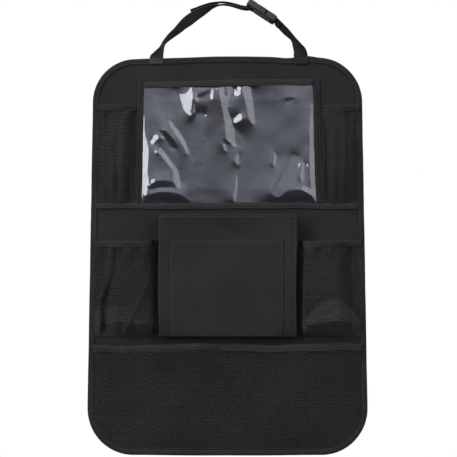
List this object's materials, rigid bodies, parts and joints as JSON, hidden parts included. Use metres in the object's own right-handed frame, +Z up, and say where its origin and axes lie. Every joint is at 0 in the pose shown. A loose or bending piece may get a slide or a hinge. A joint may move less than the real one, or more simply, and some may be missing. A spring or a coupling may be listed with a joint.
{
  "type": "car seat back organizer",
  "caption": "Car seat back organizer: a bound cloth panel with a clear tablet pocket, net pockets, a bellows pocket with a patch pocket, and a headrest strap with a side-release buckle.",
  "frame": {"origin": "centre of the panel's flat rear face, which lies against the seat back", "axes": "+Z up the panel towards the headrest strap, +Y out of the rear face towards the seat back, -Y towards the passenger, +X to the viewer's right"},
  "size_m": [0.3996, 0.0379, 0.6502],
  "materials": {
    "cloth": "matt woven polyester",
    "binding": "matt folded tape",
    "tape": "matt woven tape",
    "net": "knitted polyester net",
    "film": "clear soft vinyl",
    "webbing": "ribbed webbing",
    "plastic": "satin moulded plastic"
  },
  "bodies": {
    "organizer": {"back_panel": "cloth", "edge_binding": "binding", "window_film": "film", "window_hem": "tape", "window_strip_left": "tape", "window_strip_right": "tape", "cross_band": "tape", "upper_net_left": "net", "upper_hem_left": "tape", "upper_net_right": "net", "upper_hem_right": "tape", "middle_net_left": "net", "middle_hem_left": "tape", "middle_net_right": "net", "middle_hem_right": "tape", "bellows_gusset": "cloth", "bellows_front": "cloth", "patch_pocket": "cloth", "lower_net": "net", "lower_hem": "tape", "strap_left": "webbing", "strap_right": "webbing", "buckle_socket": "plastic"},
    "plug": {"buckle_plug": "plastic"}
  },
  "joints": [
    {"name": "buckle_release", "type": "slide", "parent": "organizer", "child": "plug", "axis": [-0.8387, 0, 0.5446], "range_m": [0, 0.024], "deforming": ["buckle_plug", "strap_left"]}
  ]
}
